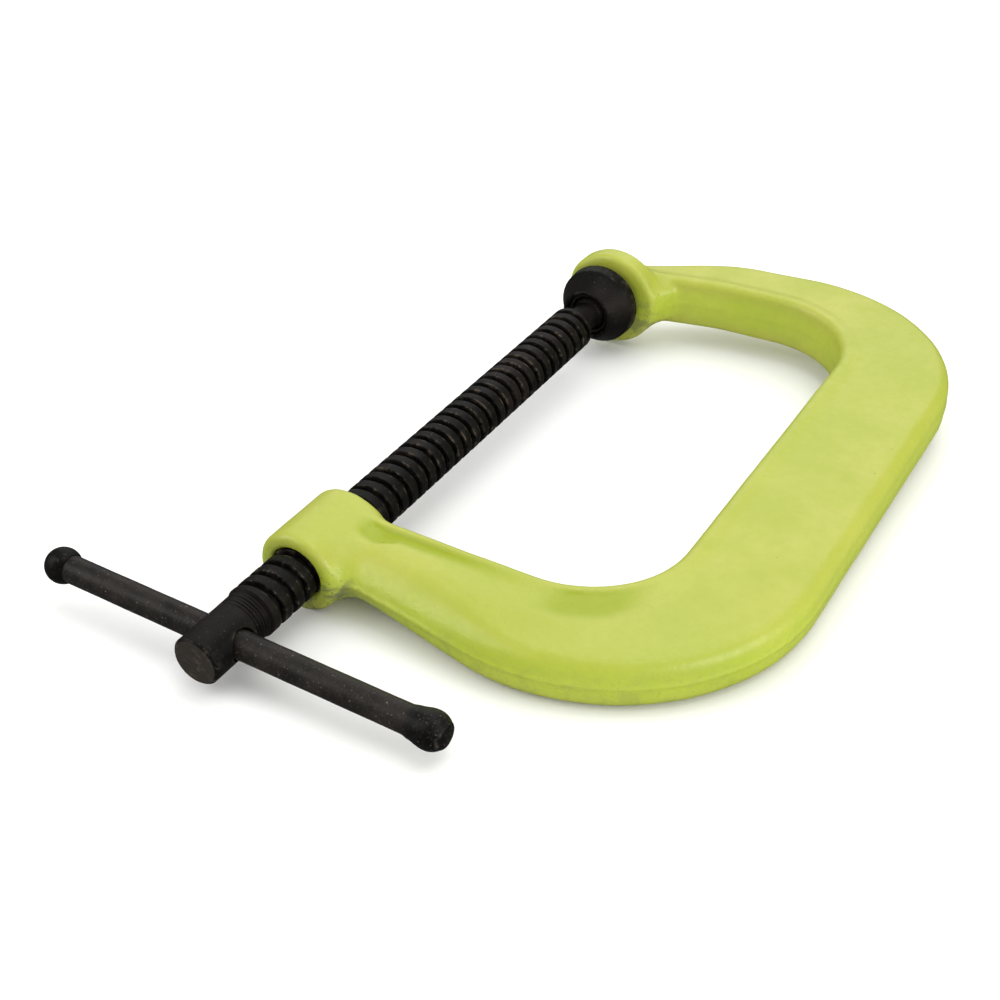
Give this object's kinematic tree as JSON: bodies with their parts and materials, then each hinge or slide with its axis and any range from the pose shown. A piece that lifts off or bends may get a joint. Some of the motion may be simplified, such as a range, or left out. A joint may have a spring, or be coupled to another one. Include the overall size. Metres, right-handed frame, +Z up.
{
  "type": "C clamp",
  "caption": "Cast C-shaped clamp with a sliding T-handle screw, a ball-jointed swivel pad and a round fixed anvil.",
  "frame": {"origin": "centre of the anvil's clamping face, on the screw's axis", "axes": "+Y along the screw from the handle towards the anvil, +X from the screw towards the spine, +Z up, square to the plane of the C"},
  "size_m": [0.2122, 0.2957, 0.038],
  "materials": {
    "frame_enamel": "semi-gloss enamel over a casting",
    "spindle_black_oxide": "black oxide, oiled",
    "pad_black_oxide": "black oxide, oiled",
    "spring_wire": "drawn spring wire",
    "bar_black_oxide": "black oxide, satin",
    "ball_black_oxide": "black oxide, satin"
  },
  "bodies": {
    "frame_body": {"frame": "frame_enamel"},
    "pad_ring_body": {"pad_retaining_ring": "spring_wire"},
    "spindle_body": {"spindle": "spindle_black_oxide"},
    "handle_body": {"handle_bar": "bar_black_oxide", "handle_ball": "ball_black_oxide"},
    "swivel_pad_body": {"swivel_pad": "pad_black_oxide"}
  },
  "joints": [
    {"name": "screw_feed", "type": "slide", "parent": "frame_body", "child": "pad_ring_body", "axis": [0, -1, 0], "range_m": [0, 0.1518]},
    {"name": "screw_turn", "type": "hinge", "parent": "pad_ring_body", "child": "spindle_body", "pos_m": [0, 0, 0], "axis": [0, -1, 0], "range_deg": [0, 9758]},
    {"name": "handle_slide", "type": "slide", "parent": "spindle_body", "child": "handle_body", "axis": [1, 0, 0], "range_m": [-0.0595, 0.0513]},
    {"name": "pad_tilt", "type": "hinge", "parent": "pad_ring_body", "child": "swivel_pad_body", "pos_m": [0, -0.0112, 0], "axis": [1, 0, 0], "range_deg": [-6, 6]}
  ],
  "couplings": [
    {"joint": "screw_feed", "follows": "screw_turn", "m_per_rad": 0.00089127}
  ]
}
